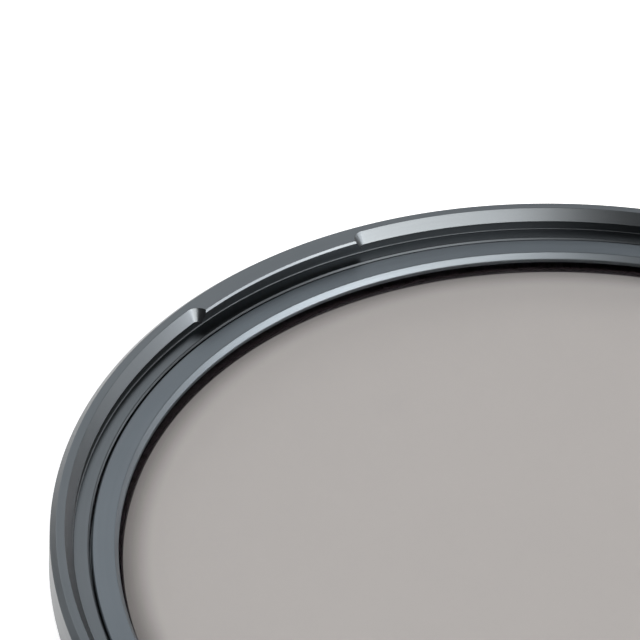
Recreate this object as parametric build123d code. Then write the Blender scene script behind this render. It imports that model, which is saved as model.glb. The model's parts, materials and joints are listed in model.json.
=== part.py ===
"""Screw-in lens filter: a slim turned frame, a retaining ring and a flat neutral-grey glass.

Millimetres. The optical axis is Z, with the front of the filter up. The origin is on the axis, in the plane of
the rear end that the filter stands on.
"""
import os
from math import asin, degrees

from build123d import *

# Rear thread, which screws into the front of a lens
thread_diameter = 77.0
thread_length = 2.2
thread_lead_chamfer = 0.35
relief_width = 0.4
relief_depth = 0.45

# Outside of the frame, which stands out past the thread as a shoulder
shoulder_width = 1.5
shoulder_edge_chamfer = 0.3
front_edge_chamfer = 0.45

# Front rim, and the groove under the lips that overhang the recess
rim_width = 1.65
lip_overhang = 0.45
lip_thickness = 0.85
lip_chamfer_width = 0.12
lip_chamfer_height = 0.175
groove_height = 0.75
groove_corner_chamfer = 0.05

# Places of the lips round the rim, and the bevel of the gaps cut between them
lip_count = 4
lip_first_angle = 137.0
lip_span_angle = 22.3
gap_bevel_width = 0.6
gap_cutter_overrun = 0.5

# Floor of the front recess, between the groove and the retaining ring
floor_width = 1.25
floor_edge_chamfer = 0.15

# Retaining ring, flush with the floor
retainer_width = 1.95
retainer_land_height = 0.29
retainer_bevel_width = 0.3
retainer_bevel_height = 0.46
retainer_edge_chamfer = 0.12
retainer_clearance = 0.1
retainer_seat_gap = 0.1

# Slots for a pin spanner in the retaining ring
slot_count = 2
slot_first_angle = 45.0
slot_width = 1.5
slot_depth = 0.45

# Glass, gripped by its margin under the retaining ring
glass_grip_width = 0.95
glass_thickness = 1.1
glass_edge_chamfer = 0.15
glass_clearance = 0.1

# Ledge that carries the glass, and the bore behind it
ledge_width = 1.3
ledge_thickness = 0.3
ledge_edge_chamfer = 0.05
rear_bore_depth = 1.95
rear_wall_width = 1.2
rear_bore_chamfer = 0.2

# Levels along the axis, stacked from the rear end up
shoulder_z = thread_length
glass_rear_z = rear_bore_depth + ledge_thickness
glass_front_z = glass_rear_z + glass_thickness
floor_z = glass_front_z + retainer_land_height + retainer_bevel_height
lip_underside_z = floor_z + groove_height
front_z = lip_underside_z + lip_thickness

# Radii, from the thread out and from the rim in
thread_radius = thread_diameter / 2
body_radius = thread_radius + shoulder_width
recess_radius = body_radius - rim_width
lip_radius = recess_radius - lip_overhang
retainer_bore_radius = recess_radius - floor_width
retainer_radius = retainer_bore_radius - retainer_clearance
retainer_hole_radius = retainer_radius - retainer_width
glass_radius = retainer_hole_radius + glass_grip_width
glass_pocket_radius = glass_radius + glass_clearance
ledge_radius = glass_radius - ledge_width
rear_bore_radius = thread_radius - rear_wall_width


def turned(points):
    """A solid of revolution about Z, from the corners (radius, height) of its section."""
    section = make_face(Polyline(*points, close=True))
    return revolve(Plane.XZ * section, axis=Axis.Z)


def frame_blank():
    """The frame as it leaves the lathe, with one unbroken lip over the recess."""
    retainer_seat_z = glass_front_z - retainer_seat_gap
    relief_radius = thread_radius - relief_depth
    return turned([
        (rear_bore_radius + rear_bore_chamfer, 0),
        (thread_radius - thread_lead_chamfer, 0),
        (thread_radius, thread_lead_chamfer),
        (thread_radius, shoulder_z - relief_width),
        (relief_radius, shoulder_z - relief_width),
        (relief_radius, shoulder_z),
        (body_radius - shoulder_edge_chamfer, shoulder_z),
        (body_radius, shoulder_z + shoulder_edge_chamfer),
        (body_radius, front_z - front_edge_chamfer),
        (body_radius - front_edge_chamfer, front_z),
        (lip_radius + lip_chamfer_width, front_z),
        (lip_radius, front_z - lip_chamfer_height),
        (lip_radius, lip_underside_z),
        (recess_radius, lip_underside_z),
        (recess_radius, floor_z + groove_corner_chamfer),
        (recess_radius - groove_corner_chamfer, floor_z),
        (retainer_bore_radius + floor_edge_chamfer, floor_z),
        (retainer_bore_radius, floor_z - floor_edge_chamfer),
        (retainer_bore_radius, retainer_seat_z),
        (glass_pocket_radius, retainer_seat_z),
        (glass_pocket_radius, glass_rear_z),
        (ledge_radius + ledge_edge_chamfer, glass_rear_z),
        (ledge_radius, glass_rear_z - ledge_edge_chamfer),
        (ledge_radius, rear_bore_depth + ledge_edge_chamfer),
        (ledge_radius + ledge_edge_chamfer, rear_bore_depth),
        (rear_bore_radius, rear_bore_depth),
        (rear_bore_radius, rear_bore_chamfer),
    ])


def lip_gap():
    """What a tapered cutter takes away between a lip centred on +X and the next lip round.

    The cutter's axis follows the lip's inner edge, and its tip just reaches the groove's wall at the lip's
    underside. Its taper leaves the bevel along the gap, and its own round at both ends.
    """
    tip_radius = lip_overhang
    front_radius = tip_radius + gap_bevel_width
    cut_height = lip_thickness + gap_cutter_overrun
    mouth_radius = tip_radius + gap_bevel_width * cut_height / lip_thickness
    start_angle = lip_span_angle / 2 + degrees(2 * asin(front_radius / lip_radius / 2))
    travel_angle = 360 / lip_count - 2 * start_angle
    section = make_face(Polyline(
        (lip_radius - tip_radius, 0),
        (lip_radius + tip_radius, 0),
        (lip_radius + mouth_radius, cut_height),
        (lip_radius - mouth_radius, cut_height),
        close=True,
    ))
    channel = revolve(Plane.XZ * section, axis=Axis.Z, revolution_arc=travel_angle)
    cutter = Pos(lip_radius, 0, 0) * Cone(
        tip_radius, mouth_radius, cut_height, align=(Align.CENTER, Align.CENTER, Align.MIN)
    )
    swept = channel + cutter + Rot(0, 0, travel_angle) * cutter
    return Pos(0, 0, lip_underside_z) * Rot(0, 0, start_angle) * swept


def frame_ring():
    """The turned frame, with its lip cut into separate lips."""
    frame = frame_blank()
    for index in range(lip_count):
        frame -= Rot(0, 0, lip_first_angle + index * 360 / lip_count) * lip_gap()
    return frame


def retaining_ring():
    """The ring that holds the glass down, with its bevelled hole and the slots for a pin spanner."""
    ring = turned([
        (retainer_hole_radius, glass_front_z),
        (retainer_radius, glass_front_z),
        (retainer_radius, floor_z - retainer_edge_chamfer),
        (retainer_radius - retainer_edge_chamfer, floor_z),
        (retainer_hole_radius + retainer_bevel_width, floor_z),
        (retainer_hole_radius, floor_z - retainer_bevel_height),
    ])
    slot = Pos(retainer_hole_radius, 0, floor_z - slot_depth) * Box(
        4 * retainer_width, slot_width, 2 * slot_depth, align=(Align.CENTER, Align.CENTER, Align.MIN)
    )
    for index in range(slot_count):
        ring -= Rot(0, 0, slot_first_angle + index * 360 / slot_count) * slot
    return ring


def filter_glass():
    """The flat disc of glass, with both rims chamfered."""
    return turned([
        (0, glass_rear_z),
        (glass_radius - glass_edge_chamfer, glass_rear_z),
        (glass_radius, glass_rear_z + glass_edge_chamfer),
        (glass_radius, glass_front_z - glass_edge_chamfer),
        (glass_radius - glass_edge_chamfer, glass_front_z),
        (0, glass_front_z),
    ])


os.makedirs("parts", exist_ok=True)
export_step(frame_ring(), "parts/frame_ring.step")
export_step(retaining_ring(), "parts/retaining_ring.step")
export_step(filter_glass(), "parts/filter_glass.step")
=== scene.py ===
"""Looks of the screw-in lens filter: a turned, dark-anodised frame, its retaining ring and its grey glass.

Shapes are worked out in millimetres about the optical axis, Z, with the front of the filter up. They go
into their meshes in metres.
"""
import json

import bmesh
import bpy
import numpy as np
from mathutils import Matrix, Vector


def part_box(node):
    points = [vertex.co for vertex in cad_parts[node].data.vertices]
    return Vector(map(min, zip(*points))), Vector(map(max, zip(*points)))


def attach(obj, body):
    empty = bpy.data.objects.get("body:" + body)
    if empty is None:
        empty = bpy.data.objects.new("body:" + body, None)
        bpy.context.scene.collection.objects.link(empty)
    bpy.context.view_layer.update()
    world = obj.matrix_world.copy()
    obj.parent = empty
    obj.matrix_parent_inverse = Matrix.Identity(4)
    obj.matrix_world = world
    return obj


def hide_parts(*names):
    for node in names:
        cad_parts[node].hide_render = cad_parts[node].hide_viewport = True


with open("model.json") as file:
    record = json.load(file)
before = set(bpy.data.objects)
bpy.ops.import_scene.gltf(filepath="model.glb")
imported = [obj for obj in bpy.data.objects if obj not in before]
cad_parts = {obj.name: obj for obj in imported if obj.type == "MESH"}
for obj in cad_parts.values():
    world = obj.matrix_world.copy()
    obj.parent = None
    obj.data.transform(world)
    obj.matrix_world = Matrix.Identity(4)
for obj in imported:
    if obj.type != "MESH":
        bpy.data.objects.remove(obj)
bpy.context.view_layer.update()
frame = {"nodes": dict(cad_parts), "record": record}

MM = 0.001


def radii(node):
    """The smallest and the largest distance of a solid's corners from the axis, to 0.001 mm."""
    mesh = frame["nodes"][node].data
    points = np.empty(3 * len(mesh.vertices))
    mesh.vertices.foreach_get("co", points)
    across = np.hypot(points[0::3], points[1::3]) / MM
    return round(float(across.min()), 3), round(float(across.max()), 3)


def levels(node):
    """The lowest and the highest point of a solid along the axis, to 0.001 mm."""
    low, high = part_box(node)
    return round(low.z / MM, 3), round(high.z / MM, 3)


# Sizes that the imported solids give
ledge_radius, body_radius = radii("frame_ring")
hole_radius, retainer_radius = radii("retaining_ring")
glass_radius = radii("filter_glass")[1]
rear_z, front_z = levels("frame_ring")
glass_rear_z, glass_front_z = levels("filter_glass")
floor_z = levels("retaining_ring")[1]
mounts = {mount["name"]: mount for mount in frame["record"]["mounts"]}
thread_radius = mounts["lens_thread"]["dims"]["r_mm"]

# Front rim of the frame: the lips, the bevelled gaps between them and the groove under them
front_edge_chamfer = 0.45
rim_width = 1.65
lip_overhang = 0.45
lip_thickness = 0.85
lip_chamfer_width = 0.12
lip_chamfer_height = 0.175
lip_count = 4
lip_first_angle = np.radians(137.0)
lip_span_angle = np.radians(22.3)
gap_bevel_width = 0.6
groove_corner_chamfer = 0.05

# Floor of the recess, the seat of the retaining ring and the ledge under the glass
floor_width = 1.25
floor_edge_chamfer = 0.15
retainer_seat_gap = 0.1
glass_clearance = 0.1
ledge_thickness = 0.3
ledge_edge_chamfer = 0.1

# Outside and rear of the frame
shoulder_edge_chamfer = 0.3
thread_length = 2.2
thread_pitch = 0.75
thread_crest_share = 0.12
thread_flank_angle = np.radians(30)
thread_lead_chamfer = 0.35
relief_width = 0.4
relief_depth = 0.45
rear_wall_width = 1.2
rear_bore_chamfer = 0.2

# Retaining ring and glass
retainer_bevel_width = 0.3
retainer_bevel_height = 0.46
retainer_edge_chamfer = 0.12
slot_count = 2
slot_first_angle = np.radians(45.0)
slot_width = 1.5
slot_depth = 0.45
glass_edge_chamfer = 0.15

# Finish of the shapes: the flat left on a deburred edge and the finer one at the top of the front opening,
# the angle past which an edge stays crisp, and how close points are merged
edge_break = 0.03
rim_edge_break = 0.008
crisp_angle = np.radians(11)
weld_distance = 0.0001

# Columns of the grids: along half a lip, round the cutter's turn, along half a gap, over half a slot, along
# half of the retaining ring between two slots, and all round the glass
lip_columns = 14
turn_columns = 15
gap_columns = 44
slot_columns = 5
land_columns = 140
glass_columns = 360

# Step between the thread's rows, as a share of its pitch
thread_row_step = 0.1

# Levels and radii that follow
lip_underside_z = front_z - lip_thickness
recess_radius = body_radius - rim_width
lip_radius = recess_radius - lip_overhang
retainer_bore_radius = recess_radius - floor_width
glass_pocket_radius = glass_radius + glass_clearance
relief_radius = thread_radius - relief_depth
rear_bore_radius = thread_radius - rear_wall_width
rear_bore_depth = glass_rear_z - ledge_thickness
gap_front_radius = lip_overhang + gap_bevel_width

# Angles from the middle of a lip to the next lip's, and to where the path of the gap's cutter starts
lip_pitch = 2 * np.pi / lip_count
path_start = lip_span_angle / 2 + 2 * np.arcsin(gap_front_radius / lip_radius / 2)

# Places of the frame's columns from the middle of a lip to the middle of a gap, as shares of each stretch
lip_share = np.linspace(0, 1, lip_columns, endpoint=False)
turn_share = np.linspace(0, 1, turn_columns)
gap_share = np.linspace(0, 1, gap_columns + 1)[1:]


def broken(corners):
    """The corners (radius, height) of a section, each cut to a small flat as on a deburred edge.

    Each corner but the first and the last becomes two points, set back along its two edges by the size of
    the flat, or by a quarter of the edge where that is less.
    """
    corners = np.array(corners)
    ahead = np.diff(corners, axis=0)
    length = np.linalg.norm(ahead, axis=1, keepdims=True)
    step = ahead / length * np.minimum(edge_break, length / 4)
    flats = np.stack([corners[1:-1] - step[:-1], corners[1:-1] + step[1:]], axis=1)
    return np.concatenate([corners[:1], flats.reshape(-1, 2), corners[-1:]])


def polar(radius, angle, height):
    """Points from their distance to the optical axis, their angle about it and their height along it."""
    return np.stack(np.broadcast_arrays(radius * np.cos(angle), radius * np.sin(angle), height), axis=-1)


def all_round(half, count):
    """A quantity all round a ring, from its columns over half of one of the ring's equal shares.

    The half is mirrored to a whole share, the share is repeated, and its first column closes the ring.
    """
    share = np.concatenate([half, half[..., -2:0:-1]], axis=-1)
    return np.concatenate([np.tile(share, count), share[..., :1]], axis=-1)


def angles_all_round(half, first_angle, count):
    """The columns' angles all round a ring, from those over half of one of the ring's equal shares.

    The half is mirrored to a whole share, the share is turned to each of its places from the first angle
    on, and its first column, one turn on, closes the ring.
    """
    pitch = 2 * np.pi / count
    share = np.concatenate([half, pitch - half[..., -2:0:-1]], axis=-1)
    starts = first_angle + pitch * np.arange(count)
    angle = np.concatenate([start + share for start in starts], axis=-1)
    return np.concatenate([angle, angle[..., :1] + 2 * np.pi], axis=-1)


def cutter_radius_at(height):
    """Radius of the gap's tapered cutter, which grows evenly from its tip at the lips' underside."""
    return lip_overhang + gap_bevel_width * (height - lip_underside_z) / lip_thickness


def lip_radius_at(height):
    """Radius of the lips' edge, which grows evenly over the height of its chamfer."""
    rise = max(0, height - front_z + lip_chamfer_height)
    return lip_radius + lip_chamfer_width * rise / lip_chamfer_height


def front_outline(height, set_back=0):
    """A row of the frame's grid: the front opening's outline at one height, set back for a broken edge.

    It is an arc of the lips' radius along each lip, then a turn of the cutter's radius about the end of the
    cutter's path, then an arc that lies the cutter's radius outside the path. The path runs along the lips'
    edge circle, so the turn meets the lip where a point at the cutter's radius from the path's end lies at
    the lips' radius from the axis.
    """
    inner_radius = lip_radius_at(height) + set_back
    cutter_radius = cutter_radius_at(height) + set_back
    meeting = (inner_radius**2 - lip_radius**2 - cutter_radius**2) / (2 * cutter_radius * lip_radius)
    heading = np.arcsin(meeting) + (np.pi / 2 - np.arcsin(meeting)) * turn_share
    back = cutter_radius * np.cos(heading)
    out = lip_radius + cutter_radius * np.sin(heading)
    turn_angle = path_start - np.arctan2(back, out)
    half_angle = np.concatenate([
        turn_angle[0] * lip_share,
        turn_angle,
        path_start + (lip_pitch / 2 - path_start) * gap_share,
    ])
    half_radius = np.concatenate([
        np.full(lip_columns, inner_radius),
        np.hypot(out, back),
        np.full(gap_columns, lip_radius + cutter_radius),
    ])
    angle = angles_all_round(half_angle, lip_first_angle, lip_count)
    return polar(all_round(half_radius, lip_count), angle, height)


def frame_columns():
    """Angles of the frame's columns on its turned faces, evenly spread over lips, turns and gaps."""
    lip_end = lip_span_angle / 2
    half_angle = np.concatenate([
        lip_end * lip_share,
        lip_end + (path_start - lip_end) * turn_share,
        path_start + (lip_pitch / 2 - path_start) * gap_share,
    ])
    return angles_all_round(half_angle, lip_first_angle, lip_count)


def thread_rows(angle):
    """Rows of the rear thread, from the rear end to the relief.

    Each row is a helix that climbs one pitch in a turn, at a fixed place on the thread's outline: crest,
    flank, root or flank. The first starts one pitch below the rear end. Rows are held at the rear end and at
    the relief, and the lead chamfer cuts the radius down.
    """
    flank_share = relief_depth * np.tan(thread_flank_angle) / thread_pitch
    bends = np.array([0, thread_crest_share, thread_crest_share + flank_share, 1 - flank_share, 1])
    depths = np.array([0, 0, relief_depth, relief_depth, 0])
    thread_end = thread_length - relief_width
    pitches = thread_end / thread_pitch + 1
    even_rows = np.arange(0, pitches, thread_row_step)
    bend_rows = np.add.outer(np.arange(np.ceil(pitches)), bends[1:-1]).ravel()
    phase = np.sort(np.concatenate([even_rows, bend_rows]))[:, None]
    turn = (angle - angle[0]) / (2 * np.pi)
    height = np.clip(thread_pitch * (phase - 1 + turn), rear_z, thread_end)
    place = np.mod(height / thread_pitch - turn, 1)
    radius = thread_radius - np.interp(place, bends, depths)
    lead = thread_radius - thread_lead_chamfer + height - rear_z
    return polar(np.minimum(radius, lead), angle, height)


def frame_grid():
    """The frame as a grid: its section carried round the axis.

    The thread's rows climb as they go round, and the front opening's rows follow the lips and the gaps.
    """
    angle = frame_columns()
    outside = broken([
        (relief_radius, thread_length - relief_width),
        (relief_radius, thread_length),
        (body_radius - shoulder_edge_chamfer, thread_length),
        (body_radius, thread_length + shoulder_edge_chamfer),
        (body_radius, front_z - front_edge_chamfer),
        (body_radius - front_edge_chamfer, front_z),
        (recess_radius + gap_bevel_width, front_z),
    ])[:-1]
    inside = broken([
        (recess_radius, lip_underside_z),
        (recess_radius, floor_z + groove_corner_chamfer),
        (recess_radius - groove_corner_chamfer, floor_z),
        (retainer_bore_radius + floor_edge_chamfer, floor_z),
        (retainer_bore_radius, floor_z - floor_edge_chamfer),
        (retainer_bore_radius, glass_front_z - retainer_seat_gap),
        (glass_pocket_radius, glass_front_z - retainer_seat_gap),
        (glass_pocket_radius, glass_rear_z),
        (ledge_radius + ledge_edge_chamfer, glass_rear_z),
        (ledge_radius, glass_rear_z - ledge_edge_chamfer),
        (ledge_radius, rear_bore_depth + ledge_edge_chamfer),
        (ledge_radius + ledge_edge_chamfer, rear_bore_depth),
        (rear_bore_radius, rear_bore_depth),
        (rear_bore_radius, rear_z + rear_bore_chamfer),
        (rear_bore_radius + rear_bore_chamfer, rear_z),
    ])
    opening = [
        front_outline(front_z, rim_edge_break),
        front_outline(front_z - rim_edge_break),
        front_outline(front_z - lip_chamfer_height),
        front_outline(lip_underside_z),
    ]
    return np.concatenate([
        thread_rows(angle),
        polar(outside[:, :1], angle, outside[:, 1:]),
        np.stack(opening),
        polar(inside[:, :1], angle, inside[:, 1:]),
    ])


def retaining_ring_grid():
    """The retaining ring as a grid: its section carried round the axis, let down to a floor in each slot.

    In a slot the columns are lines parallel to its middle, at the angle whose sine is their offset over the
    radius. Each wall of a slot is two columns at the same place, one at the ring's face and one at the
    floor.
    """
    section = broken([
        (hole_radius, glass_front_z),
        (retainer_radius, glass_front_z),
        (retainer_radius, floor_z - retainer_edge_chamfer),
        (retainer_radius - retainer_edge_chamfer, floor_z),
        (hole_radius + retainer_bevel_width, floor_z),
        (hole_radius, floor_z - retainer_bevel_height),
        (hole_radius, glass_front_z),
    ])[:-1]
    radius = section[:, :1]
    height = section[:, 1:]
    slot_height = np.minimum(height, floor_z - slot_depth)
    wall_angle = np.arcsin(slot_width / 2 / radius)
    land_angle = np.pi / slot_count - wall_angle
    half_angle = np.concatenate([
        np.arcsin(slot_width / 2 * np.linspace(0, 1, slot_columns) / radius),
        wall_angle + land_angle * np.linspace(0, 1, land_columns),
    ], axis=1)
    half_height = np.concatenate([
        np.repeat(slot_height, slot_columns, axis=1),
        np.repeat(height, land_columns, axis=1),
    ], axis=1)
    angle = angles_all_round(half_angle, slot_first_angle, slot_count)
    return polar(radius, angle, all_round(half_height, slot_count))


def glass_grid():
    """The glass as a grid: its section carried round the axis.

    The section runs from the middle of the rear face out, round the edge and in to the middle of the front.
    """
    section = broken([
        (0, glass_rear_z),
        (glass_radius - glass_edge_chamfer, glass_rear_z),
        (glass_radius, glass_rear_z + glass_edge_chamfer),
        (glass_radius, glass_front_z - glass_edge_chamfer),
        (glass_radius - glass_edge_chamfer, glass_front_z),
        (0, glass_front_z),
    ])
    angle = np.linspace(0, 2 * np.pi, glass_columns + 1)
    return polar(section[:, :1], angle, section[:, 1:])


def piece(node, grid, material, closed=True):
    """One piece of the filter over a grid of points (row, column, place), standing for a CAD node.

    Four neighbours make a face that looks outwards, and where the section is closed the last row joins the
    first. Points that meet are then merged, which closes the seam and the poles and takes out faces without
    area.
    """
    rows, columns = grid.shape[:2]
    index = np.arange(rows * columns).reshape(rows, columns)
    if closed:
        index = np.concatenate([index, index[:1]])
    corners = np.stack([index[:-1, :-1], index[:-1, 1:], index[1:, 1:], index[1:, :-1]], axis=-1)
    mesh = bpy.data.meshes.new(node + "_skin")
    mesh.from_pydata(grid.reshape(-1, 3) * MM, [], corners.reshape(-1, 4))
    shell = bmesh.new()
    shell.from_mesh(mesh)
    bmesh.ops.remove_doubles(shell, verts=shell.verts, dist=weld_distance * MM)
    shell.to_mesh(mesh)
    shell.free()
    mesh.shade_smooth()
    mesh.set_sharp_from_angle(angle=crisp_angle)
    mesh.materials.append(material)
    made = bpy.data.objects.new(node + "_skin", mesh)
    bpy.context.scene.collection.objects.link(made)
    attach(made, "root")
    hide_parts(node)


def linear(colour):
    """An sRGB hex colour as linear red, green, blue and alpha, by the sRGB curve."""
    share = np.array([int(colour[start:start + 2], 16) for start in (1, 3, 5)]) / 255
    light = np.where(share <= 0.04045, share / 12.92, ((share + 0.055) / 1.055) ** 2.4)
    return (*light.tolist(), 1.0)


def add_node(tree, kind, inputs=None, **settings):
    """Adds a node to a tree, with settings by name, and each input given a value or linked to a socket."""
    made = tree.nodes.new(kind)
    for name, value in settings.items():
        setattr(made, name, value)
    for name, value in (inputs or {}).items():
        if isinstance(value, bpy.types.NodeSocket):
            tree.links.new(value, made.inputs[name])
        else:
            made.inputs[name].default_value = value
    return made


def new_material(name):
    """An empty node material and its output node."""
    material = bpy.data.materials.new(name)
    material.use_nodes = True
    material.node_tree.nodes.clear()
    return material, add_node(material.node_tree, "ShaderNodeOutputMaterial")


def off_axis(tree):
    """Sockets for a point: its place, its place without the height, and its distance to the axis."""
    place = add_node(tree, "ShaderNodeTexCoord").outputs["Object"]
    flat = add_node(
        tree,
        "ShaderNodeVectorMath",
        {0: place, 1: (1, 1, 0)},
        operation="MULTIPLY",
    ).outputs["Vector"]
    radius = add_node(tree, "ShaderNodeVectorMath", {0: flat}, operation="LENGTH").outputs["Value"]
    return place, flat, radius


def anodised_aluminium(name, dark, light, roughness):
    """Aluminium turned on a lathe, bead-blasted lightly and dyed blue-grey in the anodising bath.

    To the eye it is a dark satin metal: it mirrors its surroundings dimly and a little blurred, and fine
    turning marks run round the axis on every face.
    """
    # Turning marks are some 0.05 mm apart on the real ring, and are drawn at 0.16 mm so that they show
    mark_spacing = 0.16 * MM
    mark_length = 10 * MM
    mark_depth = 0.002 * MM
    mark_relief = 0.3
    mark_blur = 0.04
    # The dye takes a little unevenly, in patches of a few millimetres
    patch_size = 6 * MM

    material, output = new_material(name)
    tree = material.node_tree
    place, flat, radius = off_axis(tree)
    heading = add_node(tree, "ShaderNodeVectorMath", {0: flat}, operation="NORMALIZE")
    round_axis = add_node(
        tree,
        "ShaderNodeVectorMath",
        {0: heading.outputs["Vector"], "Scale": body_radius * MM / mark_length},
        operation="SCALE",
    )
    outwards = add_node(tree, "ShaderNodeMath", {0: radius, 1: mark_spacing}, operation="DIVIDE")
    across = add_node(tree, "ShaderNodeCombineXYZ", {"Z": outwards.outputs["Value"]})
    upwards = add_node(
        tree,
        "ShaderNodeVectorMath",
        {0: place, 1: (0, 0, 1 / mark_spacing)},
        operation="DOT_PRODUCT",
    )
    marks_at = add_node(
        tree,
        "ShaderNodeVectorMath",
        {0: round_axis.outputs["Vector"], 1: across.outputs["Vector"]},
        operation="ADD",
    )
    marks = add_node(
        tree,
        "ShaderNodeTexNoise",
        {"Vector": marks_at.outputs["Vector"], "W": upwards.outputs["Value"], "Scale": 1.0, "Detail": 1.0},
        noise_dimensions="4D",
    )
    patches = add_node(
        tree,
        "ShaderNodeTexNoise",
        {"Vector": place, "Scale": 1 / patch_size, "Detail": 2.0},
    )
    colour = add_node(
        tree,
        "ShaderNodeMix",
        {"Factor": patches.outputs["Fac"], "A": linear(dark), "B": linear(light)},
        data_type="RGBA",
    )
    blur = add_node(
        tree,
        "ShaderNodeMapRange",
        {"Value": marks.outputs["Fac"], "To Min": roughness - mark_blur, "To Max": roughness + mark_blur},
    )
    bump = add_node(
        tree,
        "ShaderNodeBump",
        {"Height": marks.outputs["Fac"], "Strength": mark_relief, "Distance": mark_depth},
    )
    shader = add_node(
        tree,
        "ShaderNodeBsdfPrincipled",
        {
            "Base Color": colour.outputs["Result"],
            "Metallic": 1.0,
            "Roughness": blur.outputs["Result"],
            "Normal": bump.outputs["Normal"],
        },
    )
    tree.links.new(shader.outputs["BSDF"], output.inputs["Surface"])
    return material


def grey_filter_glass():
    """Neutral-grey optical glass, ground flat, polished and coated against reflections.

    To the eye it is clear and perfectly flat: it dims what lies behind it to a warm grey, and its coat
    leaves hardly a mirror image on it. Over the last millimetres at the ring a painted shade deepens its
    grey, standing for the shadow that the ring casts on the table below.
    """
    # The painted shade comes in softly towards the ring, and is whole just past the edge of the ledge
    shade_start = ledge_radius - 2.25
    shade_end = ledge_radius + 0.15
    # Grey of the open glass, and the darker grey of the painted shade at the ring
    open_tint = linear("#B3B0AE")
    painted_shade_tint = linear("#797775")
    # The coat is a quarter wave of green light thick, in nanometres, with magnesium fluoride's index
    coat_thickness = 100.0
    coat_ior = 1.38
    # What further layers of the coat leave of the mirror image
    mirror_tint = linear("#75707C")

    material, output = new_material("neutral_grey_optical_glass")
    tree = material.node_tree
    radius = off_axis(tree)[2]
    painted_shade_share = add_node(
        tree,
        "ShaderNodeMapRange",
        {"Value": radius, "From Min": shade_start * MM, "From Max": shade_end * MM},
        interpolation_type="SMOOTHSTEP",
    )
    # Painted shade: the glass's grey turns to the darker grey near the ring, for the ring's shadow on the
    # table
    tint = add_node(
        tree,
        "ShaderNodeMix",
        {"Factor": painted_shade_share.outputs["Result"], "A": open_tint, "B": painted_shade_tint},
        data_type="RGBA",
    )
    shader = add_node(
        tree,
        "ShaderNodeBsdfPrincipled",
        {
            "Base Color": tint.outputs["Result"],
            "Roughness": 0.0,
            "IOR": 1.52,
            "Specular Tint": mirror_tint,
            "Transmission Weight": 1.0,
            "Thin Film Thickness": coat_thickness,
            "Thin Film IOR": coat_ior,
        },
    )
    tree.links.new(shader.outputs["BSDF"], output.inputs["Surface"])
    return material


def light_table():
    """Opal acrylic of a studio light table: matt white, with an even glow that leaves faint shadows."""
    material, output = new_material("glowing_opal_acrylic")
    tree = material.node_tree
    shader = add_node(
        tree,
        "ShaderNodeBsdfPrincipled",
        {
            "Base Color": linear("#F4F3F2"),
            "Roughness": 0.8,
            "Emission Color": linear("#FFFFFF"),
            "Emission Strength": 0.68,
        },
    )
    tree.links.new(shader.outputs["BSDF"], output.inputs["Surface"])
    return material


def table_top():
    """The table that the filter lies on: a square in metres, so wide that its edges lie near the horizon."""
    half = 20.0
    mesh = bpy.data.meshes.new("table")
    square = np.array([(-half, -half, 0), (half, -half, 0), (half, half, 0), (-half, half, 0)])
    mesh.from_pydata(square, [], [(0, 1, 2, 3)])
    mesh.materials.append(light_table())
    table = bpy.data.objects.new("table", mesh)
    bpy.context.scene.collection.objects.link(table)


def soft_box(name, azimuth, elevation, distance, width, height, brightness, colour):
    """A studio soft box that faces the filter, with its lengths in metres.

    Azimuth is turned from +X towards +Y. A brightness of 1 is plain white in the render, which an area
    light has at 4 watts for each square metre.
    """
    data = bpy.data.lights.new(name, "AREA")
    data.shape = "RECTANGLE"
    data.size = width
    data.size_y = height
    data.energy = 4 * width * height * brightness
    data.color = linear(colour)[:3]
    light = bpy.data.objects.new(name, data)
    turn, rise = np.radians((azimuth, elevation))
    away = np.array([np.cos(turn) * np.cos(rise), np.sin(turn) * np.cos(rise), np.sin(rise)])
    right = np.array([-np.sin(turn), np.cos(turn), 0])
    up = np.cross(away, right)
    pose = np.eye(4)
    pose[:3] = np.column_stack([right, up, away, away * distance])
    light.matrix_world = Matrix(pose.tolist())
    light.visible_camera = False
    bpy.context.scene.collection.objects.link(light)


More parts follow.
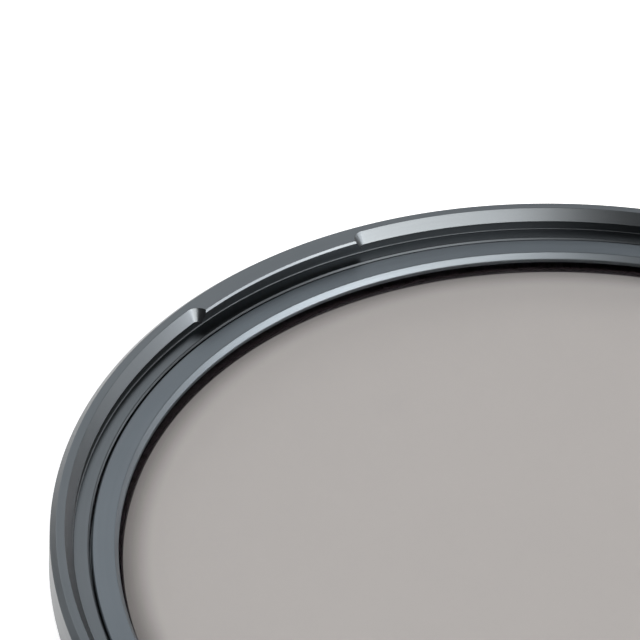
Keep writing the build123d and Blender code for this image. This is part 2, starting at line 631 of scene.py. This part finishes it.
def studio():
    """A dim white room with soft boxes that the dark metal mirrors.

    A broad one stands behind the filter, bright ones in front of it and to the right, a dimmer one above
    the camera, and the last stands for a white wall to the right.
    """
    room_brightness = 0.15
    world = bpy.data.worlds.new("studio")
    world.use_nodes = True
    background = world.node_tree.nodes["Background"]
    background.inputs["Color"].default_value = linear("#FFFFFF")
    background.inputs["Strength"].default_value = room_brightness
    bpy.context.scene.world = world
    soft_box(
        "soft_box_behind", azimuth=130, elevation=36, distance=1.6,
        width=2.17, height=1.6, brightness=1.55, colour="#FAFDFF",
    )
    soft_box(
        "soft_box_in_front", azimuth=318, elevation=25.6, distance=1.4,
        width=1.25, height=0.45, brightness=8.2, colour="#FFFCF7",
    )
    soft_box(
        "soft_box_above_camera", azimuth=318, elevation=44, distance=1.4,
        width=1.1, height=0.5, brightness=2.5, colour="#FFFFFF",
    )
    soft_box(
        "soft_box_to_the_right", azimuth=352, elevation=13, distance=1.4,
        width=1.0, height=0.6, brightness=7.2, colour="#FFFFFF",
    )
    soft_box(
        "white_wall_to_the_right", azimuth=45, elevation=11, distance=1.4,
        width=1.5, height=0.54, brightness=2.1, colour="#FFFFFF",
    )


def camera():
    """A long lens that looks down on the far left part of the rim.

    The lens stands in front of the filter, at its distance and elevation from the middle of the front face,
    and is then aimed by its heading, its tilt down and its roll.
    """
    distance = 320.0
    elevation = np.radians(40.739)
    heading = np.radians(-5.135)
    tilt = np.radians(38.341)
    roll = np.radians(3.946)
    focal_length = 250.3
    data = bpy.data.cameras.new("camera")
    data.sensor_width = 36.0
    data.lens = focal_length
    data.clip_start = 0.01
    place = np.array([0, -distance * np.cos(elevation), front_z + distance * np.sin(elevation)]) * MM
    ahead = np.array([np.sin(heading) * np.cos(tilt), np.cos(heading) * np.cos(tilt), -np.sin(tilt)])
    level = np.array([np.cos(heading), -np.sin(heading), 0])
    above = np.cross(level, ahead)
    right = np.cos(roll) * level + np.sin(roll) * above
    up = np.cos(roll) * above - np.sin(roll) * level
    pose = np.eye(4)
    pose[:3] = np.column_stack([right, up, -ahead, place])
    made = bpy.data.objects.new("camera", data)
    made.matrix_world = Matrix(pose.tolist())
    bpy.context.scene.collection.objects.link(made)
    bpy.context.scene.camera = made


piece(
    "frame_ring",
    frame_grid(),
    anodised_aluminium("satin_anodised_frame", dark="#494D50", light="#505356", roughness=0.31),
)
piece(
    "retaining_ring",
    retaining_ring_grid(),
    anodised_aluminium("satin_anodised_retainer", dark="#5B6065", light="#63696E", roughness=0.46),
)
piece("filter_glass", glass_grid(), grey_filter_glass(), closed=False)
table_top()
studio()
camera()
bpy.context.scene.view_settings.view_transform = "Standard"
